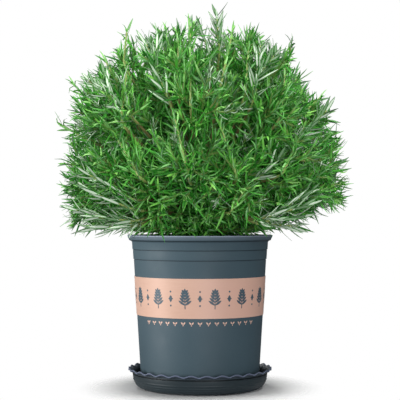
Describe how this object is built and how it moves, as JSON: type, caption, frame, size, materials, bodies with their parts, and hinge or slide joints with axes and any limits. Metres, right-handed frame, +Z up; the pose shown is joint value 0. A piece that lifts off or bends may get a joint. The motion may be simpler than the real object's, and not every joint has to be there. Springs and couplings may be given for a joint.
{
  "type": "potted rosemary plant",
  "caption": "Bushy rosemary with narrow leaves in opposite pairs, growing from soil in a round tapered pot with a foil band, standing on a saucer with a wavy edge.",
  "frame": {"origin": "middle of the saucer's flat underside, on the pot's own axis", "axes": "+Z up along the pot's axis; -Y is the side that the picture shows, and +X is to its right"},
  "size_m": [0.3477, 0.3525, 0.4491],
  "materials": {
    "saucer_plastic": "satin",
    "pot_plastic": "satin",
    "rose_gold_foil": "satin",
    "potting_soil": "matte",
    "bark": "matte",
    "rosemary_leaf": "satin"
  },
  "bodies": {
    "root": {"label_band": "rose_gold_foil", "lower_shoot_01": "rosemary_leaf", "lower_shoot_02": "rosemary_leaf", "lower_shoot_03": "rosemary_leaf", "lower_shoot_04": "rosemary_leaf", "lower_shoot_05": "rosemary_leaf", "lower_shoot_06": "rosemary_leaf", "lower_shoot_07": "rosemary_leaf", "lower_shoot_08": "rosemary_leaf", "lower_shoot_09": "rosemary_leaf", "lower_shoot_10": "rosemary_leaf", "lower_shoot_11": "rosemary_leaf", "lower_shoot_12": "rosemary_leaf", "lower_shoot_13": "rosemary_leaf", "lower_shoot_14": "rosemary_leaf", "lower_shoot_15": "rosemary_leaf", "lower_shoot_16": "rosemary_leaf", "lower_shoot_17": "rosemary_leaf", "lower_shoot_18": "rosemary_leaf", "lower_shoot_19": "rosemary_leaf", "lower_shoot_20": "rosemary_leaf", "middle_shoot_01": "rosemary_leaf", "middle_shoot_02": "rosemary_leaf", "middle_shoot_03": "rosemary_leaf", "middle_shoot_04": "rosemary_leaf", "middle_shoot_05": "rosemary_leaf", "middle_shoot_06": "rosemary_leaf", "middle_shoot_07": "rosemary_leaf", "middle_shoot_08": "rosemary_leaf", "middle_shoot_09": "rosemary_leaf", "middle_shoot_10": "rosemary_leaf", "pot_body": "pot_plastic", "potting_soil": "potting_soil", "saucer": "saucer_plastic", "upper_shoot_01": "rosemary_leaf", "upper_shoot_02": "rosemary_leaf", "upper_shoot_03": "rosemary_leaf", "upper_shoot_04": "rosemary_leaf", "upper_shoot_05": "rosemary_leaf", "upper_shoot_06": "rosemary_leaf", "upper_shoot_07": "rosemary_leaf", "upper_shoot_08": "rosemary_leaf", "upper_shoot_09": "rosemary_leaf", "upper_shoot_10": "rosemary_leaf", "woody_base": "bark"}
  },
  "joints": []
}
